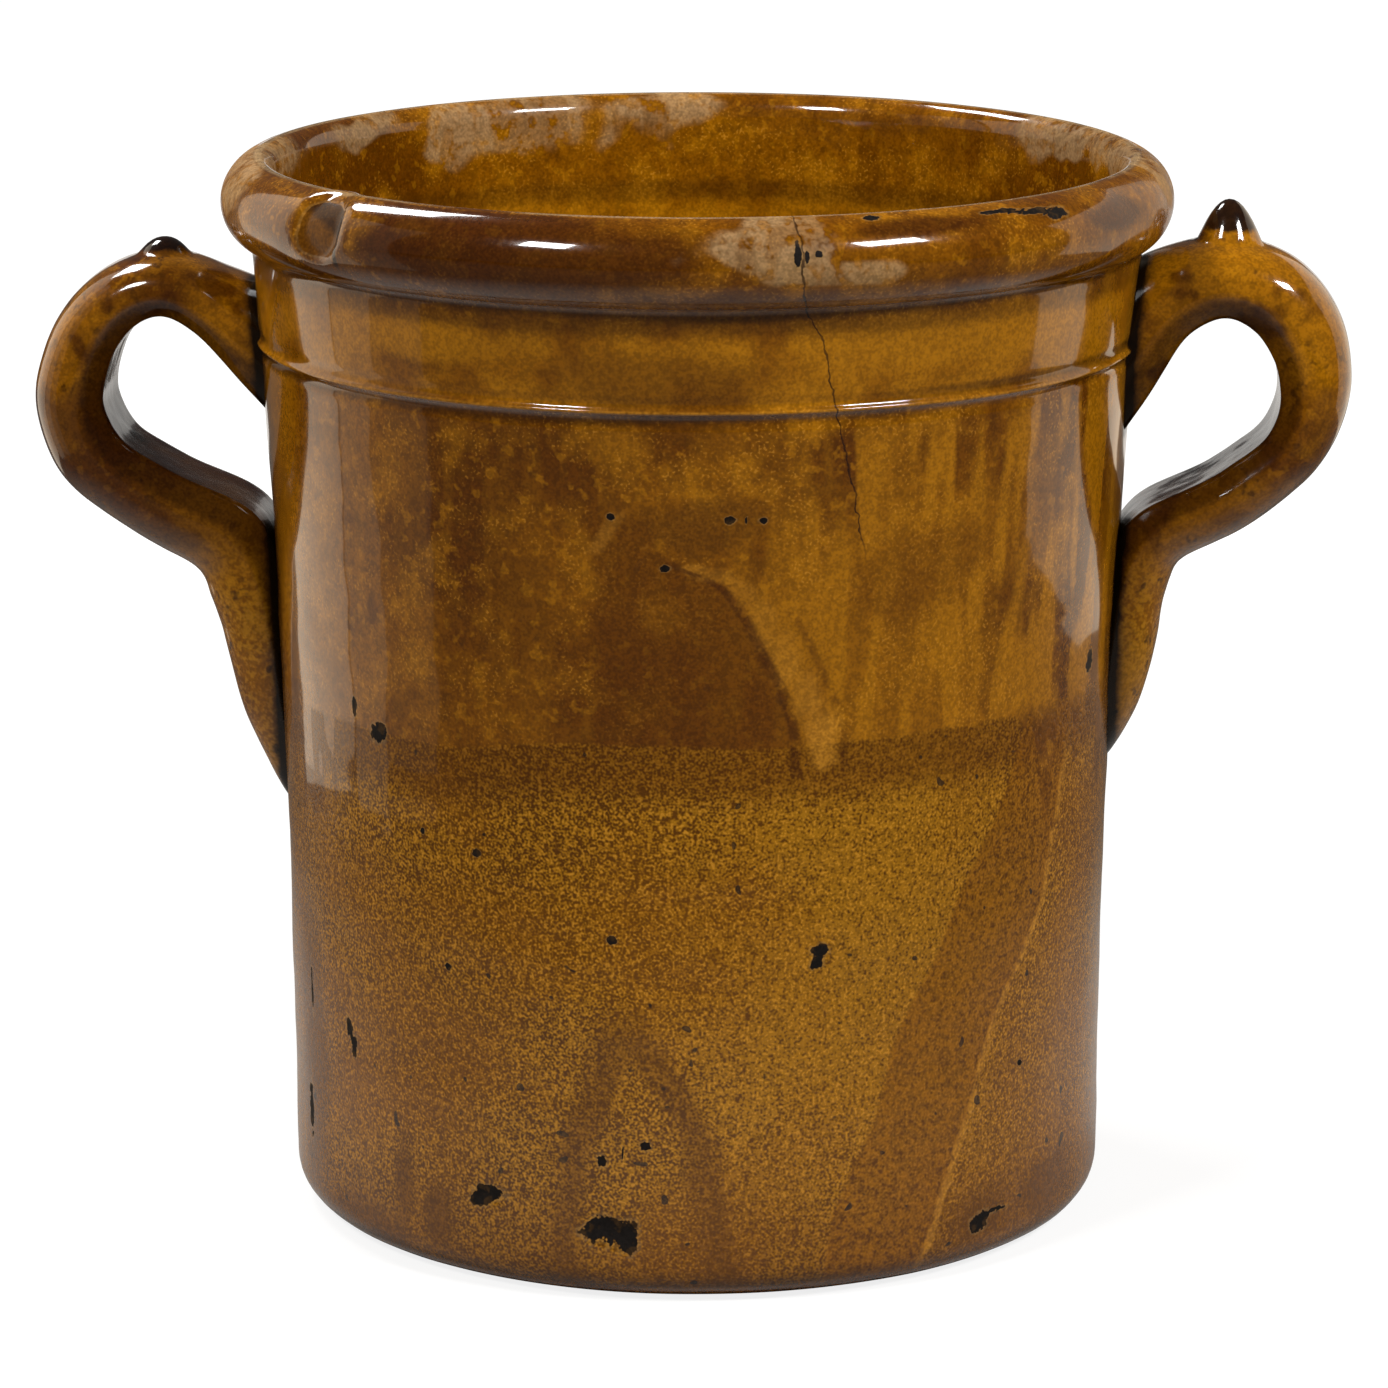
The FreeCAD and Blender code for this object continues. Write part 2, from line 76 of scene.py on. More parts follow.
class Wires:                                  # one node tree
    def __init__(self, tree):
        self.tree = tree

    def node(self, kind, settings=None, sockets=None, output=0):
        made = self.tree.nodes.new(kind)
        for name, setting in (settings or {}).items():
            setattr(made, name, setting)
        for name, value in (sockets or {}).items():
            if isinstance(value, Wire):
                self.tree.links.new(value.socket, made.inputs[name])
            else:
                made.inputs[name].default_value = value
        return Wire(self, made.outputs[output])

    def math(self, operation, *values):
        return self.node("ShaderNodeMath", {"operation": operation}, dict(enumerate(values)))

    def vector(self, operation, *values, output=0):
        return self.node("ShaderNodeVectorMath", {"operation": operation}, dict(enumerate(values)), output)

    def combine(self, x, y, z):
        return self.node("ShaderNodeCombineXYZ", None, {"X": x, "Y": y, "Z": z})

    def blend(self, first, second, share, mode="MIX"):     # colours
        return self.node("ShaderNodeMix", {"data_type": "RGBA", "blend_type": mode},
                         {0: share, 6: first, 7: second}, 2)

    def noise(self, place, scale, detail, rough=0.5):
        return self.node("ShaderNodeTexNoise", None,
                         {"Vector": place, "Scale": scale, "Detail": detail, "Roughness": rough})

    def seededNoise(self, place, seed, scale, detail, rough=0.5):
        return self.node("ShaderNodeTexNoise", {"noise_dimensions": "4D"},
                         {"Vector": place, "W": seed, "Scale": scale, "Detail": detail, "Roughness": rough})

    def field(self, name, output="Fac"):      # what the mesh keeps at its vertices
        return self.node("ShaderNodeAttribute", {"attribute_name": name}, None, output)

    def finish(self, shader, kind="ShaderNodeOutputMaterial"):
        self.tree.links.new(shader.socket, self.tree.nodes.new(kind).inputs["Surface"])


def paint(red, green, blue):                  # colour as seen on a screen, 0 to 255, to linear
    return tuple((c / 12.92 if c <= 0.04045 else ((c + 0.055) / 1.055) ** 2.4)
                 for c in (red / 255, green / 255, blue / 255)) + (1.0,)


# ---- the thrown form, in millimetres
jarShape = {
    "rimHeight": 271.5, "rimRadius": 120.6, "rollRadius": 11.6, "crestRadius": 111.3,
    "lipRadius": 106.7, "lipDrop": 6.0, "neckRadius": 112.7, "neckDrop": 24.5, "neckRound": 4.0,
    "waistRadius": 106.1, "waistHeight": 110.0, "footRadius": 104.7, "footRound": 10.0,
    "floorThick": 9.0, "floorRound": 14.0, "footWall": 7.4, "waistWall": 6.6,
    "cordonDrop": 46.9, "cordonProud": 0.85,
    "around": 400, "wobble": 1.1, "ringDepth": 0.5, "ringScale": 75.0, "dents": 0.9, "seed": 3.0,
    "seamFade": 3.0,                          # reach of the pooled glaze and painted shade beside a strap
}
rimBite = {"turn": -47.0, "height": 264.0, "halfWidth": 4.4, "halfHeight": 8.5, "depth": 2.2}


def sweep(height, points):                    # radius at a height on the parabola through three points
    (z0, r0), (z1, r1), (z2, r2) = points
    return (r0 * (height - z1) * (height - z2) / ((z0 - z1) * (z0 - z2))
            + r1 * (height - z0) * (height - z2) / ((z1 - z0) * (z1 - z2))
            + r2 * (height - z0) * (height - z1) / ((z2 - z0) * (z2 - z1)))


def wallRadius(height):
    s = jarShape
    return sweep(height, ((s["footRound"], s["footRadius"]), (s["waistHeight"], s["waistRadius"]),
                          (s["rimHeight"] - s["neckDrop"], s["neckRadius"])))


def insideRadius(height):
    s = jarShape
    return sweep(height, ((s["floorThick"] + s["floorRound"], s["footRadius"] - s["footWall"]),
                          (s["waistHeight"], s["waistRadius"] - s["waistWall"]),
                          (s["rimHeight"] - s["lipDrop"], s["lipRadius"])))


def bend(centre, radius, first, last, count):  # points on an arc, angles in degrees
    angles = np.radians(np.linspace(first, last, count))
    return [(centre[0] + radius * math.cos(a), centre[1] + radius * math.sin(a)) for a in angles]


def cordonLine(height):                       # raised line with a soft groove on both sides
    above = height - (jarShape["rimHeight"] - jarShape["cordonDrop"])
    ridge = jarShape["cordonProud"] * math.exp(-(above / 0.75) ** 2)
    grooveUnder = 0.40 * math.exp(-((above + 2.4) / 1.3) ** 2)
    grooveOver = 0.25 * math.exp(-((above - 2.2) / 1.3) ** 2)
    return ridge - grooveUnder - grooveOver


def jarProfile():
    s = jarShape
    foot, top = s["footRound"], s["rimHeight"]
    crestIn = s["crestRadius"] - s["rimRadius"] + s["rollRadius"]
    rollCentre = (s["rimRadius"] - s["rollRadius"], top - math.sqrt(s["rollRadius"] ** 2 - crestIn ** 2))
    neckTop = top - s["neckDrop"] - 0.5
    wallTop = wallRadius(neckTop)
    rows = [(r, 0.0) for r in np.linspace(0, s["footRadius"] - foot, 9)[:-1]]
    rows += bend((s["footRadius"] - foot, foot), foot, -90, 0, 12)[:-1]
    cordon = top - s["cordonDrop"]
    heights = np.concatenate([np.linspace(foot, cordon - 6, 86),
                              np.linspace(cordon - 5, cordon + 4.5, 24),
                              np.linspace(cordon + 6, neckTop, 9)])
    rows += [(wallRadius(z) + cordonLine(z), z) for z in heights]
    # cove under the roll
    cove = (wallTop + s["neckRound"], neckTop + 0.6)
    gap = math.atan2(rollCentre[1] - cove[1], rollCentre[0] - cove[0])
    rows += bend(cove, s["neckRound"], 180, math.degrees(gap) + 22, 7)[1:]
    start = math.degrees(math.atan2(rows[-1][1] - rollCentre[1], rows[-1][0] - rollCentre[0]))
    crest = math.degrees(math.atan2(top - rollCentre[1], s["crestRadius"] - rollCentre[0]))
    rows += bend(rollCentre, s["rollRadius"], start + 5, crest, 36)
    lipTop = top - s["lipDrop"]
    rows += [(s["lipRadius"] + (s["crestRadius"] - s["lipRadius"]) * (1 - math.sin(a)),
              lipTop + s["lipDrop"] * math.cos(a)) for a in np.linspace(0, math.pi / 2, 8)[1:]]
    corner = s["floorThick"] + s["floorRound"]
    rows += [(insideRadius(z), z) for z in np.linspace(lipTop, corner, 40)[1:-1]]
    inner = s["footRadius"] - s["footWall"] - s["floorRound"]
    rows += bend((inner, corner), s["floorRound"], 0, -90, 9)
    rows += [(r, s["floorThick"]) for r in np.linspace(inner, 0, 9)[1:]]
    return rows


def storeMark(mesh, key, values):             # numbers, or rows of three, on the vertices
    wide = np.ndim(values) == 2
    layer = mesh.attributes.new(key, "FLOAT_VECTOR" if wide else "FLOAT", "POINT")
    layer.data.foreach_set("vector" if wide else "value", np.asarray(values, dtype=float).ravel())


def lineObject(name, points, values=None):    # helper mesh that a tree samples by index
    mesh = bpy.data.meshes.new(name)
    mesh.from_pydata([tuple(p) for p in points], [(i, i + 1) for i in range(len(points) - 1)], [])
    for key, column in (values or {}).items():
        storeMark(mesh, key, column)
    made = bpy.data.objects.new(name, mesh)
    bpy.context.scene.collection.objects.link(made)
    return made


def startTree(name, inputs):
    tree = bpy.data.node_groups.new(name, "GeometryNodeTree")
    tree.interface.new_socket(name="Geometry", in_out="INPUT", socket_type="NodeSocketGeometry")
    for label, kind in inputs.items():
        tree.interface.new_socket(name=label, in_out="INPUT", socket_type=kind)
    tree.interface.new_socket(name="Geometry", in_out="OUTPUT", socket_type="NodeSocketGeometry")
    wires = Wires(tree)
    source = tree.nodes.new("NodeGroupInput")
    return wires, {label: Wire(wires, source.outputs[label]) for label in inputs}


def closeTree(wires, geometry, finish):
    geometry = wires.node("GeometryNodeMergeByDistance", None, {"Geometry": geometry, "Distance": 0.008 * mm})
    geometry = wires.node("GeometryNodeSetShadeSmooth", None, {"Geometry": geometry, "Shade Smooth": True})
    geometry = wires.node("GeometryNodeRealizeInstances", None, {"Geometry": geometry})
    geometry = wires.node("GeometryNodeSetMaterial", None, {"Geometry": geometry, "Material": finish})
    end = wires.tree.nodes.new("NodeGroupOutput")
    wires.tree.links.new(geometry.socket, end.inputs["Geometry"])


def growPiece(name, tree, values):            # run a tree once and keep the plain mesh
    holder = bpy.data.objects.new(name + "Grower", bpy.data.meshes.new(name + "Seed"))
    bpy.context.scene.collection.objects.link(holder)
    modifier = holder.modifiers.new("grow", "NODES")
    modifier.node_group = tree
    for item in tree.interface.items_tree:
        if item.item_type == "SOCKET" and item.in_out == "INPUT" and item.name in values:
            modifier[item.identifier] = values[item.name]
    evaluated = holder.evaluated_get(bpy.context.evaluated_depsgraph_get())
    mesh = bpy.data.meshes.new_from_object(evaluated)
    mesh.name = name
    holder.modifiers.remove(modifier)
    bpy.data.objects.remove(holder)
    piece = bpy.data.objects.new(name, mesh)
    bpy.context.scene.collection.objects.link(piece)
    return piece


def startGrid(wires, given):                  # flat grid, with the column and row of each vertex
    across, along = given["Around"], given["Rows"]
    grid = wires.node("GeometryNodeMeshGrid", None, {
        "Size X": 1.0, "Size Y": 1.0, "Vertices X": across + 1, "Vertices Y": along})
    index = wires.node("GeometryNodeInputIndex")
    column = (index / along + 1e-4).math("FLOOR")
    return grid, column, index - column * along


def sampleRow(wires, source, row, key, kind):
    value = (wires.node("GeometryNodeInputPosition") if key == "position" else
             wires.node("GeometryNodeInputNamedAttribute", {"data_type": kind}, {"Name": key}))
    return wires.node("GeometryNodeSampleIndex", {"data_type": kind, "domain": "POINT"},
                      {"Geometry": source, "Value": value, "Index": row})


def thrownTree():                             # turns a profile, with the wobble and rings of the wheel
    wires, given = startTree("thrownForm", {
        "Profile": "NodeSocketObject", "Around": "NodeSocketInt", "Rows": "NodeSocketInt",
        "Wobble": "NodeSocketFloat", "Ring Depth": "NodeSocketFloat", "Ring Scale": "NodeSocketFloat",
        "Dents": "NodeSocketFloat", "Seed": "NodeSocketFloat", "Finish": "NodeSocketMaterial"})
    source = wires.node("GeometryNodeObjectInfo", None, {"Object": given["Profile"]}, "Geometry")
    grid, column, row = startGrid(wires, given)
    spot = sampleRow(wires, source, row, "position", "FLOAT_VECTOR")
    split = wires.node("ShaderNodeSeparateXYZ", None, {"Vector": spot})
    radius, height = split, Wire(wires, split.socket.node.outputs["Z"])
    turn = (column / given["Around"]).math("FRACT") * (2 * math.pi)
    east, south = turn.math("SINE"), turn.math("COSINE")
    drift = wires.seededNoise(wires.combine(east, south, height * 3.0), given["Seed"], 0.9, 1.0)
    rings = wires.seededNoise(wires.combine(east * 0.35, south * 0.35, height * given["Ring Scale"]),
                              given["Seed"] + 4.0, 1.0, 2.0, 0.45)
    dents = wires.seededNoise(wires.combine(radius * east, radius * south, height),
                              given["Seed"] + 9.0, 30.0, 2.0, 0.4)
    share = radius.rise(40 * mm, 90 * mm)
    push = ((drift - 0.5) * given["Wobble"] + (rings - 0.5) * given["Ring Depth"]
            + (dents - 0.5) * given["Dents"]) * share
    reach = radius + push
    place = wires.combine(reach * east, -(reach * south), height)
    shaped = wires.node("GeometryNodeSetPosition", None, {"Geometry": grid, "Position": place})
    closeTree(wires, shaped, given["Finish"])
    return wires.tree


def strapTree():                              # sweeps a section along a bent middle line
    wires, given = startTree("pulledStrap", {
        "Centre Line": "NodeSocketObject", "Section": "NodeSocketObject", "Around": "NodeSocketInt",
        "Rows": "NodeSocketInt", "Unevenness": "NodeSocketFloat", "Finger Marks": "NodeSocketFloat",
        "Seed": "NodeSocketFloat", "Finish": "NodeSocketMaterial"})
    line = wires.node("GeometryNodeObjectInfo", None, {"Object": given["Centre Line"]}, "Geometry")
    section = wires.node("GeometryNodeObjectInfo", None, {"Object": given["Section"]}, "Geometry")
    grid, column, row = startGrid(wires, given)
    around = wires.math("MODULO", column + 0.5, given["Around"]).math("FLOOR")
    centre = sampleRow(wires, line, row, "position", "FLOAT_VECTOR")
    outward = sampleRow(wires, line, row, "outward", "FLOAT_VECTOR")
    thick = sampleRow(wires, line, row, "thick", "FLOAT")
    wide = sampleRow(wires, line, row, "wide", "FLOAT")
    rim = sampleRow(wires, section, around, "position", "FLOAT_VECTOR")
    outline = wires.node("ShaderNodeSeparateXYZ", None, {"Vector": rim})
    across, out = outline, Wire(wires, outline.socket.node.outputs["Y"])
    lumps = wires.seededNoise(centre, given["Seed"], 34.0, 2.0)
    skin = wires.vector("ADD", centre, wires.combine(0.0, across * wide * 0.5, out * 0.02))
    marks = wires.seededNoise(skin, given["Seed"] + 3.0, 70.0, 2.0)
    stretch = 1 + (lumps - 0.5) * given["Unevenness"]
    raised = out * thick * stretch + (marks - 0.5) * given["Finger Marks"]
    place = wires.vector("ADD", centre, wires.combine(0.0, across * wide * 0.5 * stretch, 0.0))
    place = wires.vector("ADD", place, wires.node("ShaderNodeVectorMath", {"operation": "SCALE"},
                                                  {"Vector": outward, "Scale": raised}))
    shaped = wires.node("GeometryNodeSetPosition", None, {"Geometry": grid, "Position": place})
    shaped = wires.node("GeometryNodeStoreNamedAttribute", {"data_type": "FLOAT", "domain": "POINT"}, {
        "Geometry": shaped, "Name": "inner", "Value": Wire(wires, outline.socket.node.outputs["Z"])})
    closeTree(wires, shaped, given["Finish"])
    return wires.tree


def strapOutline(count):                      # closed section, half width 1, thickness 1
    belly, flatShare, fullness = strapBuild["belly"], strapBuild["flatShare"], strapBuild["fullness"]
    back = [(math.copysign(abs(math.cos(a)) ** fullness, math.cos(a)),
             belly - 0.5 + (1 - belly) * math.sin(a) ** fullness) for a in np.linspace(0, math.pi, 120)]
    slope = [(-1 + (1 - flatShare) * k ** 1.3, belly - 0.5 - belly * k) for k in np.linspace(0, 1, 20)[1:]]
    flat = [(x, -0.5) for x in np.linspace(-flatShare, flatShare, 40)[1:-1]]
    points = np.array(back + slope + flat + [(-x, y) for x, y in slope[::-1]])
    scaled = points * strapBuild["usual"]
    step = np.r_[0, np.cumsum(np.hypot(*np.diff(np.vstack([scaled, scaled[:1]]), axis=0).T))]
    spots = np.linspace(0, step[-1], count, endpoint=False)
    closed = np.vstack([points, points[:1]])
    x, y = np.interp(spots, step, closed[:, 0]), np.interp(spots, step, closed[:, 1])
    inner = np.clip((belly - 0.5 - y) / 0.10, 0, 1)
    return [(px, py, mark) for px, py, mark in zip(x, y, inner)]


# ---- glaze
glazeLook = {
    "brown": paint(92, 49, 1), "honey": paint(126, 75, 2), "amber": paint(166, 108, 10),
    "olive": paint(158, 108, 16), "oliveDark": paint(98, 57, 4), "run": paint(190, 130, 38),
    # poolAndShade: a near-black brown for pooled glaze, cracks and painted shade
    "poolAndShade": paint(34, 14, 5), "clay": paint(24, 20, 18), "bare": paint(172, 140, 98),
    "dirt": paint(74, 52, 26), "deep": paint(66, 30, 3), "knob": paint(24, 10, 6),
    "halo": paint(146, 112, 62),
}
# chips, in millimetres: turn in degrees from the front towards the right handle, height,
# half width, half height
chips = [(-9.8, 18.9, 4.8, 3.4), (-6.6, 17.0, 3.6, 3.6), (-26.3, 24.6, 4.4, 1.9), (-28.0, 22.6, 2.2, 1.6),
         (-43.8, 137.3, 2.9, 2.6), (-48.9, 143.4, 0.9, 2.6), (19.9, 89.8, 2.4, 1.5), (19.3, 86.4, 1.8, 1.2),
         (-3.8, 40.9, 1.6, 1.4), (-9.6, 36.5, 1.4, 1.7), (53.7, 50.9, 1.1, 0.9), (69.5, 148.6, 2.2, 2.6),
         (24.3, 270.6, 2.0, 0.5), (41.6, 269.8, 5.5, 0.4), (46.8, 268.9, 4.4, 0.6), (50.4, 267.8, 2.9, 1.2),
         (-36.2, 115.0, 0.8, 0.8), (-32.4, 81.5, 0.9, 0.9), (-27.3, 111.8, 1.0, 0.9), (-8.1, 92.9, 1.2, 1.1),
         (-7.6, 199.0, 1.1, 0.9), (-0.7, 186.6, 1.2, 0.9), (7.3, 198.6, 1.2, 0.9), (11.6, 198.2, 0.9, 0.8),
         (-66.0, 62.0, 0.8, 6.5), (-53.2, 57.5, 1.2, 2.4), (-52.0, 53.4, 1.4, 2.4), (-67.5, 29.0, 1.8, 6.5),
         (45.4, 12.2, 2.8, 2.6), (48.8, 14.4, 4.2, 0.8), (14.6, 262.6, 0.9, 3.4), (17.0, 263.6, 1.0, 0.9)]
# soft marks of the glaze, some of them painted light or shade: turn, height, half width in degrees, half
# height in millimetres
softMarks = {
    # glow: lighter amber glaze on the belly; the two tall marks at -69 and 79 degrees, near the edges of the
    # wall, are painted reflection
    "glow": [(30.0, 168.0, 18.0, 46.0), (-7.5, 216.0, 3.6, 6.0), (-69.0, 200.0, 7.0, 60.0),
             (79.0, 200.0, 8.0, 58.0)],
    "darker": [(33.0, 184.0, 9.0, 14.0)],
    "golden": [(30.0, 84.0, 24.0, 62.0)],
    "shaded": [(-3.0, 231.0, 13.0, 8.0), (-34.0, 237.0, 8.0, 5.0)],
    "rollDark": [(-17.0, 264.0, 27.0, 10.0), (31.0, 268.5, 9.0, 2.2), (62.0, 265.0, 6.0, 4.0)],
    "bright": [(40.0, 239.0, 20.0, 7.0), (-33.0, 239.0, 12.0, 5.0)],
    "crown": [(3.5, 197.5, 8.0, 6.5)],
    "run": [(2.6, 186.6, 2.2, 1.2), (5.6, 184.8, 2.4, 1.8), (9.0, 180.2, 1.9, 3.6),
            (11.7, 172.0, 1.7, 6.2), (14.4, 163.0, 1.9, 6.8), (17.4, 154.0, 2.3, 7.0),
            (19.5, 145.0, 2.5, 7.5), (19.9, 138.6, 2.2, 4.4)],
    "smudge": [(-41.0, 25.0, 2.2, 13.0), (-35.0, 16.0, 2.6, 9.0), (-66.0, 44.0, 5.5, 34.0),
               (-52.0, 6.0, 13.0, 6.0), (46.0, 14.0, 6.5, 7.0), (62.0, 16.0, 7.0, 7.0)],
    "wear": [(10.5, 265.5, 8.4, 7.5), (18.0, 259.0, 7.0, 3.0), (-121.0, 268.0, 8.0, 5.0),
             (-151.0, 264.0, 14.0, 8.5), (-172.0, 269.0, 9.0, 3.5), (118.0, 269.0, 13.0, 6.0),
             (90.0, 268.0, 13.0, 6.5), (-84.0, 267.0, 15.0, 6.0)],
}
# lines down the wall: height in millimetres, turn in degrees
lines = {
    "crackOff": [(272, 14.6), (263, 15.2), (256, 15.3), (248, 16.6), (242, 18.4), (224, 20.8),
                 (207, 23.0), (187, 25.1)],
    "runOff": [(192, -1.5), (187, 1.0), (185, 4.0), (182, 6.8), (177, 8.9), (168, 11.6),
               (158, 14.4), (151, 16.2), (144, 17.0), (128, 17.2)],
    "spillLeft": [(150, 56.0), (139, 53.5), (97.5, 41.0), (67, 31.5), (40, 27.0), (22, 22.0), (0, 20.0)],
    "spillRight": [(150, 66.0), (139, 64.5), (91.4, 58.0), (61.7, 47.7), (37.7, 42.3), (0, 34.5)],
    "forkLeft": [(80, -6.5), (68, -8.5), (40, -12.5), (10, -15.0)],
    "forkRight": [(80, -6.5), (68, -3.5), (40, 4.0), (10, 6.5)],
}


def glaze(name, kind):
    material = bpy.data.materials.new(name)
    material.use_nodes = True
    material.node_tree.nodes.clear()
    w = Wires(material.node_tree)
    look = glazeLook
    place = w.node("ShaderNodeTexCoord", None, None, "Object")
    split = w.node("ShaderNodeSeparateXYZ", None, {"Vector": place})
    x = split
    y = Wire(w, split.socket.node.outputs["Y"])
    height = Wire(w, split.socket.node.outputs["Z"]) * 1000.0
    turn = w.math("ARCTAN2", x, -y) * (180 / math.pi)
    reach = w.math("SQRT", x * x + y * y) * 1000.0

    cloud = w.noise(place, 17.0, 2.0, 0.55)
    mottle = w.noise(place, 62.0, 2.0, 0.62)
    grain = w.noise(place, 640.0, 1.0, 0.65)
    speck = w.noise(place, 1500.0, 0.0)
    ragged = w.noise(place, 260.0, 2.0, 0.6)
    edge = w.noise(place, 42.0, 2.0) - 0.5
    flow = w.noise(w.vector("MULTIPLY", place, (1.0, 1.0, 0.16)), 130.0, 1.0)

    colour = w.blend(look["brown"], look["honey"], cloud.rise(0.36, 0.56))
    colour = w.blend(colour, look["amber"], mottle.rise(0.48, 0.72) * 0.6)
    colour = w.blend(colour, look["brown"], mottle.fall(0.30, 0.46) * 0.7)
    colour = w.blend(colour, look["oliveDark"], ragged.rise(0.54, 0.66) * 0.5)
    colour = w.blend(colour, look["amber"], ragged.fall(0.34, 0.44) * 0.45)
    rough = 0.10 + grain * 0.10
    depth = (grain - 0.5) * 0.02
    coat = 0.92 - ragged * 0.1
    seam = w.field("seam")

    if kind == "body":
        outer = reach.rise(102.0, 103.0)
        onRoll = reach.rise(112.0, 113.0)
        lean = turn.math("ABSOLUTE")

        def blot(key, ruffle, soft):          # soft mark with a ruffled edge
            return w.math("MULTIPLY_ADD", edge, ruffle, w.field(key)).fall(1 - soft, 1 + soft)

        # thick smooth glaze above the tide line, thin grainy glaze below it
        tideLine = (height + edge * 3.6 + turn.fall(-36.0, -8.0) * 4.6
                    + flow.rise(0.5, 0.62) * lean.rise(50.0, 56.0) * 16.0)
        lower = tideLine.fall(141.2, 142.8) * outer
        rightHand = turn.rise(0.0, 34.0) * 0.7 + 0.15
        streaks = flow.rise(0.44, 0.58) * rightHand * height.rise(136.0, 146.0) * height.fall(214.0, 228.0)
        colour = w.blend(colour, look["amber"], streaks * outer)
        colour = w.blend(colour, look["brown"], flow.fall(0.34, 0.44) * rightHand * outer * 0.6)
        # amber glow, with painted reflection near both edges of the wall
        colour = w.blend(colour, look["amber"], blot("glow", 2.0, 0.5) * outer * 0.45)
        flecks = speck.rise(0.64, 0.76) * mottle.rise(0.42, 0.60)
        colour = w.blend(colour, look["run"], flecks * outer * 0.4)
        colour = w.blend(colour, look["brown"], blot("darker", 2.4, 0.3) * outer * 0.45)
        band = height.rise(224.0, 227.0) * height.fall(240.0, 250.0) * outer
        colour = w.blend(colour, w.blend(look["honey"], look["amber"], mottle.rise(0.3, 0.6)), band * 0.85)
        colour = w.blend(colour, look["oliveDark"], blot("shaded", 1.6, 0.5) * outer * 0.65)

        golden = blot("golden", 1.4, 0.6)
        grit = (speck * 0.7 + grain * 0.3 + golden * 0.12).rise(0.36, 0.60)
        oliveMix = w.blend(look["oliveDark"], look["olive"], grit)
        oliveMix = w.blend(oliveMix, look["honey"], cloud.rise(0.40, 0.64) * (0.6 - golden * 0.4))
        colour = w.blend(colour, oliveMix, lower * 0.85)
        colour = w.blend(colour, look["run"], lower * speck.rise(0.62, 0.72) * 0.55)
        nearFoot = (height + edge * 20.0).fall(2.0, 36.0) * 0.8
        tide = tideLine.rise(124.0, 134.0).math("MAXIMUM", nearFoot) * lower
        colour = w.blend(colour, look["brown"], tide * 0.6)
        rough = rough + lower * (0.04 + grain * 0.14) + (1 - outer) * 0.12
        coat = coat - lower * (0.10 + speck * 0.3)
        # painted shade: the inside of the pot is darkened, more so towards the right
        insideShade = 0.4 + turn.rise(20.0, 150.0) * 0.55 + (mottle - 0.5) * 1.4
        inside = (1 - outer) * insideShade.math("MAXIMUM", 0.05)
        insideShadeLook = w.blend(look["deep"], look["poolAndShade"], turn.rise(10.0, 150.0) * 0.7)
        colour = w.blend(colour, insideShadeLook, inside)
        colour = w.blend(colour, look["deep"], blot("rollDark", 1.8, 0.35) * onRoll * 0.85)
        colour = w.blend(colour, look["amber"], blot("bright", 1.0, 0.4) * 0.9)
        ends = lean.rise(56.0, 72.0) * onRoll  # the glaze is rubbed dull at both ends of the rim
        coat = coat - ends * (0.45 + flow * 0.4)
        rough = rough + ends * 0.12
        depth = depth + height.fall(139.0, 145.0) * ((grain - 0.5) * 0.07 + (speck - 0.5) * 0.035)

        # dark arch on the belly, with the run of thick glaze that bounds it
        runOff = w.math("MULTIPLY_ADD", edge, 2.0, w.field("runOff"))
        arch = ((turn + edge * 6.0).rise(-11.5, -8.5) * runOff.fall(-1.0, 0.6)
                * (height + edge * 14.0).fall(197.0, 204.0) * (1 - lower) * outer)
        colour = w.blend(colour, look["brown"], arch * 0.65)
        colour = w.blend(colour, look["oliveDark"], blot("crown", 1.8, 0.35) * outer * 0.7)
        run = (w.field("run") + edge * 1.6 + (ragged - 0.5) * 0.7).fall(0.45, 1.2) * outer
        thick = 0.25 + height.fall(140.0, 180.0) * 0.3 + (mottle - 0.5) * 0.8
        colour = w.blend(colour, look["run"], run * thick)
        # painted shadow: dark lines along the edges of the run
        left = (runOff + 0.9).math("ABSOLUTE").fall(0.3, 1.1) * height.within(134.0, 188.0, 2.0)
        right = (runOff - 5.6).math("ABSOLUTE").fall(0.2, 0.9) * height.within(135.0, 178.0, 3.0)
        runEdgeShadow = left.math("MAXIMUM", right * 0.7)
        colour = w.blend(colour, look["deep"], runEdgeShadow * ragged.rise(0.36, 0.5) * 0.6)
        stroke = (turn + 8.2 + (height - 195.0) * -0.32).math("ABSOLUTE").fall(0.4, 1.6)
        stroke = stroke * height.within(190.0, 200.0, 1.5)
        colour = w.blend(colour, look["run"], stroke * outer * 0.3)

        # spilt darker glaze down the right, and the fork at the front
        spillIn = w.math("MULTIPLY_ADD", edge, 3.0, w.field("spillLeft"))
        spillOut = w.math("MULTIPLY_ADD", edge, 3.0, w.field("spillRight"))
        spill = spillIn.rise(-0.6, 0.6) * spillOut.fall(-0.6, 0.6) * lower
        spillLook = w.blend(look["brown"], look["honey"], grain.rise(0.2, 0.6))
        colour = w.blend(colour, spillLook, spill * 0.62)
        rough = rough - spill * 0.06
        spillEdge = spillOut.math("ABSOLUTE").fall(0.3, 1.1) * height.fall(120.0, 136.0)
        spillEdge = spillEdge * ragged.rise(0.34, 0.5)
        colour = w.blend(colour, look["run"], spillEdge * outer * 0.5)
        fork = w.math("MULTIPLY_ADD", edge, 7.0, w.field("fork")).math("ABSOLUTE").fall(0.8, 4.2)
        fork = fork * height.fall(66.0, 80.0)
        dull = (fork * 0.6).math("MAXIMUM", blot("smudge", 1.6, 0.5) * 0.75)
        colour = w.blend(colour, look["oliveDark"], dull * outer)
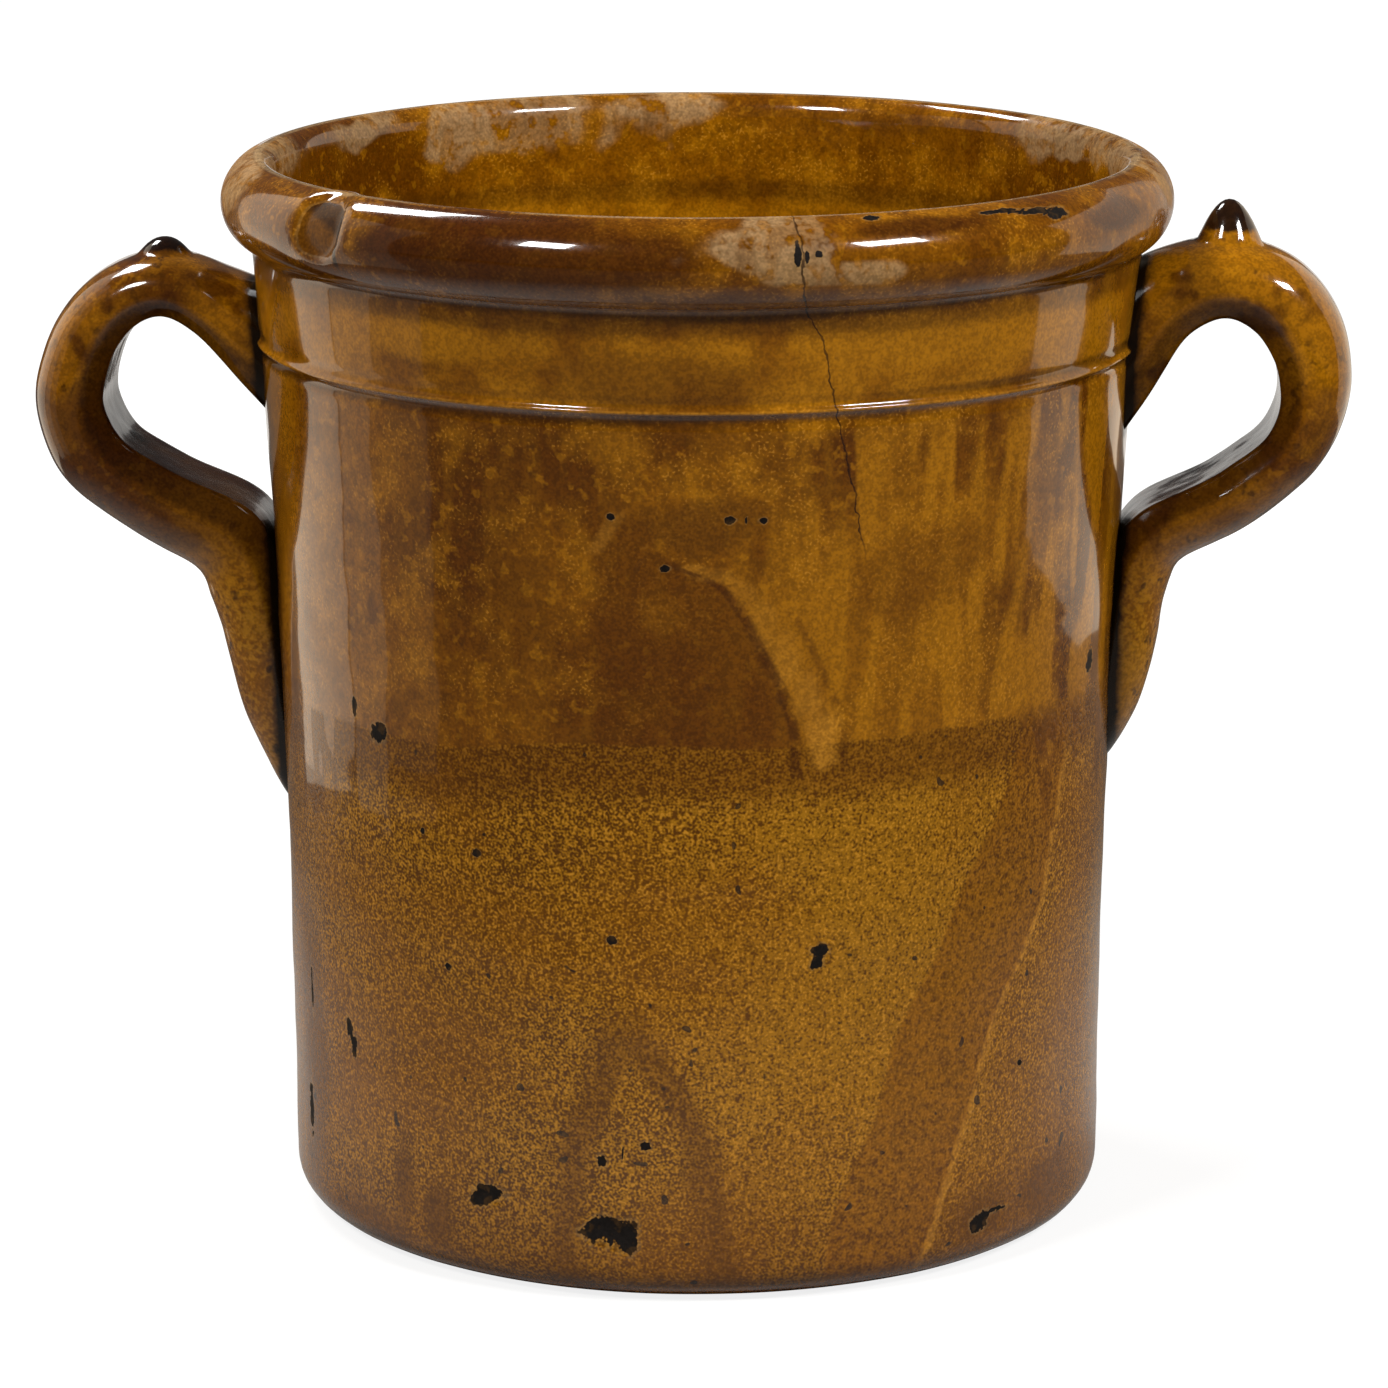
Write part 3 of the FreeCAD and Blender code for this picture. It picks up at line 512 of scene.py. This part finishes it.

        # raised line, edge under the roll, foot, with painted shade and a painted highlight
        cordonAt = jarShape["rimHeight"] - jarShape["cordonDrop"]
        ridge = height.within(cordonAt - 0.35, cordonAt + 0.35, 0.35) * outer * ragged.rise(0.30, 0.46)
        under = height.within(cordonAt - 3.6, cordonAt - 1.2, 0.8) * turn.fall(-10.0, 25.0)
        over = height.within(cordonAt + 1.2, cordonAt + 3.8, 0.8) * turn.rise(15.0, 45.0)
        neck = height.within(243.0, 248.5, 1.6) * reach.fall(115.0, 118.0)
        footLine = (height + edge * 6.0).fall(2.0, 8.0)
        # painted shade: dark lines beside the raised line, which change sides from left to right, and under
        # the roll; the foot is darker towards the bottom
        dark = (under + over).math("MAXIMUM", neck * 0.8).math("MAXIMUM", footLine * 1.3)
        colour = w.blend(colour, look["poolAndShade"], dark * outer * 0.5)
        # painted highlight: a light line along the crest of the raised line
        colour = w.blend(colour, look["run"], ridge * 0.5)

        # worn glaze on the rim
        wear = blot("wear", 3.4, 0.18) * reach.rise(104.6, 105.4)
        wear = wear * (flow.rise(0.38, 0.50) * 0.45 + ragged.rise(0.38, 0.52) * 0.55)
        colour = w.blend(colour, look["bare"], wear * 0.6)
        rough = rough + wear * 0.28
        coat = coat - wear * 0.6

        crack = (w.field("crackOff") + ragged * 1.4 + edge * 1.2 - 0.7).math("ABSOLUTE")
        crack = crack.fall(0.05, 0.20) * height.within(190.0, 275.0, 6.0) * outer
        colour = w.blend(colour, look["poolAndShade"], crack * (0.55 + ragged * 0.5))

        # chips, pinholes, the worn crest and the bite out of the rim
        chipOff = w.vector("LENGTH", w.field("chipOff", "Vector"), output="Value")
        hurt = chipOff + (ragged - 0.5) * 2.0 + (speck - 0.5) * 0.3
        halo = hurt.fall(1.05, 1.4) * outer
        hurt = hurt.fall(0.9, 1.04) * outer
        pin = w.noise(place, 290.0, 0.0).rise(0.81, 0.84) * (0.2 + lower * 0.8) * outer
        crest = reach.within(110.1, 111.9, 0.4) * height.rise(270.2, 271.0) * edge.rise(-0.16, -0.04)
        colour = w.blend(colour, look["bare"], crest * 0.7)
        acrossBite = ((turn + 46.9) / 3.9).math("ABSOLUTE") ** 3.0
        upBite = ((height - 262.8) / 6.4).math("ABSOLUTE") ** 3.0
        squared = acrossBite + upBite + edge * 0.7 + (ragged - 0.5) * 0.3
        bite = squared.fall(0.92, 1.02) * onRoll
        lipLine = squared.fall(1.1, 1.30) * onRoll - bite
        shadow = (height + edge * 6.0 + (turn + 47.0) * 0.6).rise(263.0, 266.0)
        biteLook = w.blend(look["oliveDark"], look["poolAndShade"], shadow * 0.95)
        colour = w.blend(colour, biteLook, bite * 0.85)
        colour = w.blend(colour, look["halo"], lipLine * turn.fall(-48.0, -45.0) * 0.3)
        slit = (turn + 43.2 + edge * 1.5).math("ABSOLUTE").fall(0.2, 0.6)
        slit = slit * height.within(255.0, 269.0, 1.0) * onRoll
        colour = w.blend(colour, look["poolAndShade"], slit)
        rough = rough + bite * 0.1 + hurt * 0.35
        colour = w.blend(colour, look["halo"], (halo - hurt) * 0.4)
        clayLook = w.blend(look["clay"], look["dirt"], ragged.fall(0.36, 0.46) * 0.5)
        colour = w.blend(colour, clayLook, hurt.math("MAXIMUM", pin * 0.85))
        coat = coat * (1 - hurt.math("MAXIMUM", bite * 0.7))
    else:
        side = -1 if kind == "left" else 1
        knobX, knobZ, radius = strapLook[kind]["knobAt"]
        away = w.vector("SUBTRACT", place, (side * knobX * mm, 0.0, knobZ * mm))
        away = w.vector("LENGTH", away, output="Value") * 1000.0
        cap = (away + (ragged - 0.5) * 3.0).fall(radius - 0.8, radius + 0.8)
        colour = w.blend(colour, look["amber"], cloud.rise(0.40, 0.58) * 0.6)
        colour = w.blend(colour, look["deep"], mottle.fall(0.34, 0.46) * 0.75)
        low = height.fall(150.0, 182.0)
        arm = height.within(168.0, 208.0, 8.0) * strapLook[kind]["armDark"]
        colour = w.blend(colour, look["deep"], arm)
        tail = w.blend(look["honey"], look["olive"], (grain + edge).rise(0.25, 0.55))
        colour = w.blend(colour, tail, low * 0.7)
        worn = ragged.rise(0.55, 0.68) * mottle.rise(0.44, 0.62)
        colour = w.blend(colour, look["poolAndShade"], worn * (0.5 + low * 0.2))
        colour = w.blend(colour, look["knob"], cap * 0.97)
        # painted shade on the strap's inner face, which faces the wall
        inner = w.field("inner")
        colour = w.blend(colour, look["poolAndShade"], inner * 0.6)
        coat = coat - inner * 0.6
        # darker where the strap meets the wall: pooled glaze and painted shade
        colour = w.blend(colour, look["poolAndShade"], seam.rise(0.06, 0.5) * 0.5)
        rough = rough + low * 0.12
        coat = coat - low * 0.3
        depth = depth + (ragged - 0.5) * 0.03

    # fine unevenness, then the black pool of glaze and painted shade in the crease where a strap meets the
    # wall
    fine = (grain * 0.6 + speck * 0.4).rise(0.34, 0.66)
    shadeOff = w.blend((0.72, 0.70, 0.66, 1), (1.26, 1.24, 1.20, 1), fine)
    colour = w.blend(colour, shadeOff, 0.8, "MULTIPLY")
    poolAndShade = (seam + (ragged - 0.5) * 0.25).rise(0.30, 0.62)
    colour = w.blend(colour, (0.004, 0.002, 0.001, 1), poolAndShade * 0.97)
    coat = coat * (1 - poolAndShade * 0.5)

    bump = w.node("ShaderNodeBump", None, {"Strength": 1.0, "Distance": 1 * mm, "Height": depth}, "Normal")
    shader = w.node("ShaderNodeBsdfPrincipled", None, {
        "Base Color": colour, "Roughness": rough.math("MAXIMUM", 0.05), "Normal": bump, "IOR": 1.5,
        "Specular IOR Level": 0.1, "Coat Weight": coat, "Coat Roughness": 0.05, "Coat IOR": 1.5})
    w.finish(shader)
    return material


# ---- straps
strapBuild = {
    "around": 112, "rows": 240, "unevenness": 0.05, "fingerMarks": 0.5,
    "belly": 0.35, "flatShare": 0.76, "fullness": 0.84,      # shape of the section
    "usual": (17.0, 18.0),                    # half width and thickness, to spread the points by
    "sink": 4.0,                              # how far a strap runs into the wall
}
# stations along the middle line: reach from the axis, height, lean in degrees, thickness, width
# knobAt: middle and radius of the dark cap; knob: reach, foot height, radius, rise, fullness
strapLook = {
    "left": {"knobAt": (136.2, 247.5, 6.4), "knob": (136.2, 245.0, 6.8, 3.5, 2.3), "seed": 2.0,
             "armDark": 0.55, "stations": [
        (100.0, 211.8, 14, 28.0, 41.0), (101.5, 216.8, 14, 29.0, 41.0), (112.4, 224.8, 15, 24.4, 38.0),
        (121.7, 232.0, 20, 16.4, 35.0), (134.8, 238.7, 4, 14.8, 33.0), (147.3, 234.8, -40, 15.8, 33.0),
        (156.2, 225.1, -60, 17.4, 33.5), (161.8, 207.4, -92, 18.9, 34.0), (155.8, 191.3, -124, 20.1, 34.0),
        (135.8, 178.4, -153, 20.6, 34.0), (118.9, 171.4, -138, 23.2, 35.0), (112.8, 151.5, -96, 21.4, 33.0),
        (109.6, 128.0, -97, 18.0, 27.0), (103.4, 102.0, -100, 7.0, 12.0), (101.0, 95.0, -100, 0.2, 0.4)]},
    "right": {"knobAt": (134.8, 258.4, 8.6), "knob": (134.8, 252.0, 8.2, 9.6, 2.0), "seed": 7.0,
              "armDark": 0.25, "stations": [
        (100.0, 207.6, 11, 30.0, 41.0), (101.8, 213.4, 11, 31.4, 41.0), (110.8, 227.2, 17, 31.0, 38.5),
        (119.1, 237.3, 22, 20.8, 35.5), (133.9, 242.7, 1, 18.4, 33.0), (148.0, 237.3, -36, 19.9, 33.0),
        (156.2, 225.0, -58, 20.4, 33.5), (157.9, 210.2, -84, 18.2, 34.0), (152.6, 196.7, -116, 16.4, 34.0),
        (135.9, 183.4, -152, 16.9, 34.0), (116.0, 174.7, -140, 17.6, 35.0), (110.9, 160.0, -92, 17.2, 33.0),
        (109.7, 148.0, -93, 18.2, 31.0), (107.0, 131.0, -97, 14.6, 26.0), (101.6, 116.0, -118, 9.0, 15.0),
        (99.5, 110.0, -114, 0.2, 0.4)]},
}


def centreLine(kind):
    side = -1 if kind == "left" else 1
    rows = strapBuild["rows"]
    given = np.array(strapLook[kind]["stations"], dtype=float)
    step = np.r_[0, np.cumsum(np.hypot(np.diff(given[:, 0]), np.diff(given[:, 1])))]
    fine = np.linspace(0, step[-1], rows)
    table = np.stack([np.interp(fine, step, given[:, i]) for i in range(5)], axis=1)
    for _ in range(60):                       # eases the corners between stations
        table[1:-1] = 0.25 * table[:-2] + 0.5 * table[1:-1] + 0.25 * table[2:]
    lean = np.radians(table[:, 2])
    points = np.stack([side * table[:, 0], np.zeros(rows), table[:, 1]], axis=1) * mm
    outward = np.stack([-side * np.sin(lean), np.zeros(rows), np.cos(lean)], axis=1)
    return lineObject(kind + "CentreLine", points,
                      {"outward": outward, "thick": table[:, 3] * mm, "wide": table[:, 4] * mm})


def vertexTable(mesh):
    table = np.empty(len(mesh.vertices) * 3)
    mesh.vertices.foreach_get("co", table)
    return table.reshape(-1, 3)


def storeTable(mesh, table):
    mesh.vertices.foreach_set("co", table.ravel())
    mesh.update()


def faceOut(mesh):
    shell = bmesh.new()
    shell.from_mesh(mesh)
    bmesh.ops.holes_fill(shell, edges=[edge for edge in shell.edges if edge.is_boundary], sides=0)
    bmesh.ops.recalc_face_normals(shell, faces=shell.faces)
    shell.to_mesh(mesh)
    shell.free()
    mesh.polygons.foreach_set("use_smooth", [True] * len(mesh.polygons))
    mesh.update()


def turnOff(turn, middle):                    # degrees from the middle, the short way round
    return (turn - middle + 180) % 360 - 180


def nearestChip(turn, height):                # offset from the nearest chip in its own half sizes
    given = np.array(chips)[:, :, None]
    wallDegree = 1.86                         # millimetres on the wall to one degree
    acrossOff = turnOff(turn, given[:, 0]) * wallDegree
    upOff = height - given[:, 1]
    share = np.hypot(acrossOff / given[:, 2], upOff / given[:, 3])
    best = share.argmin(axis=0), np.arange(len(turn))
    far = (np.hypot(acrossOff, upOff)[best] > 7) & (share[best] > 2.5)
    return np.stack([(acrossOff / given[:, 2])[best], (upOff / given[:, 3])[best], far * 12.0], axis=1)


def shapeStrap(kind, tree, finish):
    guide = centreLine(kind)
    outline = lineObject(kind + "Section", strapOutline(strapBuild["around"]))
    piece = growPiece(kind + "Handle", tree, {
        "Centre Line": guide, "Section": outline, "Around": strapBuild["around"],
        "Rows": strapBuild["rows"], "Unevenness": strapBuild["unevenness"],
        "Finger Marks": strapBuild["fingerMarks"] * mm, "Seed": strapLook[kind]["seed"], "Finish": finish})
    bpy.data.objects.remove(guide)
    bpy.data.objects.remove(outline)
    table = vertexTable(piece.data) / mm
    # the knob stands up from the crown
    side = -1 if kind == "left" else 1
    knobX, knobZ, radius, rise, dome = strapLook[kind]["knob"]
    off = np.hypot(table[:, 0] - side * knobX, table[:, 1])
    lift = rise * (1 - (off / radius) ** dome)
    lift = np.logaddexp(0, lift / 0.45) * 0.45 * (off < radius * 1.5)
    upper = np.clip((table[:, 2] - (knobZ - 9)) / 4, 0, 1)
    table[:, 2] += lift * upper
    # what lies behind the wall is drawn back into it
    reach = np.hypot(table[:, 0], table[:, 1])
    wall = wallRadius(table[:, 2])
    sunk = np.maximum(reach, wall - strapBuild["sink"]) / reach
    table[:, 0] *= sunk
    table[:, 1] *= sunk
    storeTable(piece.data, table * mm)
    faceOut(piece.data)
    storeMark(piece.data, "seam", np.exp(-np.maximum(reach - wall, 0) / jarShape["seamFade"]))
    return piece


def dentWall(table, turn, reach):             # bite out of the rim, and the deep chips near the foot
    away = np.hypot((turn - rimBite["turn"]) / rimBite["halfWidth"],
                    (table[:, 2] - rimBite["height"]) / rimBite["halfHeight"])
    bite = np.clip((1.05 - away) / 0.25, 0, 1) * (reach > 109)
    draw = 1 - bite * rimBite["depth"] / reach
    for turnAt, heightAt, halfWidth, halfHeight in chips[:3]:
        angle, reachAt, deep = math.radians(turnAt), wallRadius(heightAt), 0.8
        sideways = np.hypot(table[:, 0] - reachAt * math.sin(angle), table[:, 1] + reachAt * math.cos(angle))
        away = np.hypot(sideways / halfWidth, (table[:, 2] - heightAt) / halfHeight)
        draw -= np.clip((1.2 - away) / 0.4, 0, 1) * deep / np.maximum(reach, 1)
    table[:, 0] *= draw
    table[:, 1] *= draw


def storeGlazeMarks(mesh, turn, height):      # distance from each soft mark and chip, turn off each line
    blur = 7                                  # how sharply neighbouring marks stay apart
    for key, marks in softMarks.items():
        away = np.stack([np.hypot(turnOff(turn, mark[0]) / mark[2], (height - mark[1]) / mark[3])
                         for mark in marks])
        storeMark(mesh, key, -np.log(np.exp(-blur * np.minimum(away, 30)).sum(axis=0)) / blur)
    off = {key: turn - np.interp(height, *np.array(points[::-1], dtype=float).T)
           for key, points in lines.items()}
    left, right = off.pop("forkLeft"), off.pop("forkRight")
    off["fork"] = np.where(np.abs(left) < np.abs(right), left, -right)
    for key, values in off.items():
        storeMark(mesh, key, values)
    storeMark(mesh, "chipOff", nearestChip(turn, height))


def storeSeam(mesh, table, reach, straps):    # how close the wall is to where a strap leaves it
    near = KDTree(sum(len(strap.data.vertices) for strap in straps))
    count = 0
    for strap in straps:
        spots = vertexTable(strap.data)
        reachOut = np.hypot(spots[:, 0], spots[:, 1]) / mm - wallRadius(spots[:, 2] / mm)
        for spot in spots[reachOut > -0.5]:
            near.insert(spot, count)
            count += 1
    near.balance()
    beside = (np.abs(table[:, 1]) < 34) & (table[:, 2] > 80) & (table[:, 2] < 252) & (reach > 103)
    seam = np.zeros(len(table))
    for index in np.where(beside)[0]:
        seam[index] = math.exp(-near.find(table[index] * mm)[2] / (jarShape["seamFade"] * mm))
    storeMark(mesh, "seam", seam)


def shapeBody(tree, finish, straps):
    s = jarShape
    profile = [(r * mm, 0.0, z * mm) for r, z in jarProfile()]
    guide = lineObject("profileLine", profile)
    piece = growPiece("thrownBody", tree, {
        "Profile": guide, "Around": s["around"], "Rows": len(profile), "Wobble": s["wobble"] * mm,
        "Ring Depth": s["ringDepth"] * mm, "Ring Scale": s["ringScale"], "Dents": s["dents"] * mm,
        "Seed": s["seed"], "Finish": finish})
    bpy.data.objects.remove(guide)
    table = vertexTable(piece.data) / mm
    turn = np.degrees(np.arctan2(table[:, 0], -table[:, 1]))
    reach = np.hypot(table[:, 0], table[:, 1])
    dentWall(table, turn, reach)
    storeTable(piece.data, table * mm)
    faceOut(piece.data)
    storeGlazeMarks(piece.data, turn, table[:, 2])
    storeSeam(piece.data, table, reach, straps)
    return piece


print("glaze")
finishes = {kind: glaze(kind + "Glaze", kind) for kind in ("body", "left", "right")}
print("handles")
strapForm = strapTree()
handles = [shapeStrap(kind, strapForm, finishes[kind]) for kind in ("left", "right")]
print("thrown body")
body = shapeBody(thrownTree(), finishes["body"], handles)
for piece in [body] + handles:
    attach(piece, "root")
    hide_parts("jar")

# ---- studio
studio = {
    "floorSize": 6.0, "floorHeight": -0.0004, "tableEdge": (0.18, 0.45), "skyGlow": 0.06,
    "softboxes": {  # place, aims at, width, height, glow, colour
        "leftPanel": ((-0.441, 0.161, 0.30), (-0.09, -0.05, 0.30), 0.25, 0.60, 1.15, (1.0, 0.86, 0.68)),
        "leftPanelEdge": ((-0.466, -0.020, 0.30), (-0.09, -0.05, 0.30), 0.11, 0.60, 0.62, (1.0, 0.86, 0.68)),
        "leftPanelFade": ((-0.470, -0.145, 0.30), (-0.09, -0.05, 0.30), 0.14, 0.60, 0.22, (1.0, 0.86, 0.68)),
        "rightPanel": ((0.551, 0.325, 0.30), (0.10, -0.04, 0.30), 0.66, 0.60, 0.9, (1.0, 0.86, 0.68)),
        "backPanel": ((0.0, 0.88, 0.16), (0.0, 0.0, 0.16), 0.80, 0.30, 0.75, (1.0, 0.97, 0.92)),
        "backLeftLamp": ((-0.78, 0.71, 1.45), (0.0, 0.0, 0.2), 0.42, 0.42, 26.0, (1, 1, 1)),
        "rightLamp": ((1.21, -0.85, 1.40), (0.0, 0.0, 0.15), 0.46, 0.30, 66.0, (1, 1, 1)),
        "frontLamp": ((-0.95, -1.25, 1.55), (0.0, 0.0, 0.1), 0.36, 0.36, 60.0, (1, 1, 1)),
    },
}


def aim(thing, place, target):
    look = (Vector(target) - Vector(place)).normalized()
    thing.location = place
    thing.rotation_euler = look.to_track_quat("-Z", "Y").to_euler()


for name, (place, target, wide, tall, glowing, tint) in studio["softboxes"].items():
    lamp = bpy.data.lights.new(name, "AREA")
    lamp.shape = "RECTANGLE"
    lamp.size, lamp.size_y, lamp.color = wide, tall, tint
    lamp.energy = glowing * math.pi * wide * tall
    stand = bpy.data.objects.new(name, lamp)
    stand.visible_camera = False
    bpy.context.scene.collection.objects.link(stand)
    aim(stand, place, target)

floorMesh = bpy.data.meshes.new("floor")
half = studio["floorSize"] / 2
corners = ((-half, -half), (half, -half), (half, half), (-half, half))
floorMesh.from_pydata([(x, y, studio["floorHeight"]) for x, y in corners], [], [(0, 1, 2, 3)])
floor = bpy.data.objects.new("floor", floorMesh)
bpy.context.scene.collection.objects.link(floor)
paper = bpy.data.materials.new("paper")
paper.use_nodes = True
paper.node_tree.nodes.clear()
w = Wires(paper.node_tree)
seen = w.node("ShaderNodeLightPath", None, None, "Is Camera Ray")
away = w.vector("LENGTH", w.node("ShaderNodeTexCoord", None, None, "Object"), output="Value")
near = away.fall(*studio["tableEdge"])
pale = seen.math("MAXIMUM", near * 0.45)
matt = w.node("ShaderNodeBsdfDiffuse", None, {
    "Color": w.blend((0.10, 0.09, 0.08, 1), (0.80, 0.79, 0.77, 1), pale)})
glow = w.node("ShaderNodeEmission", None, {
    "Color": w.blend((0.82, 0.82, 0.82, 1), (1, 1, 1, 1), away.rise(0.3, 1.0)), "Strength": 1.35})
w.finish(w.node("ShaderNodeMixShader", None, {0: seen * 0.75, 1: matt, 2: glow}))
floorMesh.materials.append(paper)

world = bpy.data.worlds.new("studioSky")
world.use_nodes = True
world.node_tree.nodes.clear()
w = Wires(world.node_tree)
seen = w.node("ShaderNodeLightPath", None, None, "Is Camera Ray")
strength = seen * (1 - studio["skyGlow"]) + studio["skyGlow"]
sky = w.node("ShaderNodeBackground", None, {"Color": (1, 1, 1, 1), "Strength": strength})
w.finish(sky, "ShaderNodeOutputWorld")
bpy.context.scene.world = world

# ---- camera
view = {"turn": 3.3, "tilt": 13.37, "distance": 1490.1, "height": 484.2, "slide": -0.8,
        "lens": 153.58, "sensor": 36.0, "farthest": 30.0}
turned, tilted = math.radians(view["turn"]), math.radians(view["tilt"])
ahead = Vector((-math.sin(turned) * math.cos(tilted), math.cos(turned) * math.cos(tilted),
                -math.sin(tilted)))
right = Vector((math.cos(turned), math.sin(turned), 0))
upward = right.cross(ahead)
camera = bpy.data.objects.new("camera", bpy.data.cameras.new("camera"))
bpy.context.scene.collection.objects.link(camera)
stood = Vector((view["distance"] * math.sin(turned), -view["distance"] * math.cos(turned), view["height"]))
camera.location = (stood + right * view["slide"]) * mm
camera.rotation_euler = Matrix((right, upward, -ahead)).transposed().to_euler()
camera.data.sensor_width = view["sensor"]
camera.data.lens = view["lens"]
camera.data.clip_end = view["farthest"]
bpy.context.scene.camera = camera
bpy.context.scene.view_settings.view_transform = "Standard"

for piece in [body] + handles:
    print(piece.name, "triangles", sum(len(face.vertices) - 2 for face in piece.data.polygons))
bpy.context.view_layer.update()
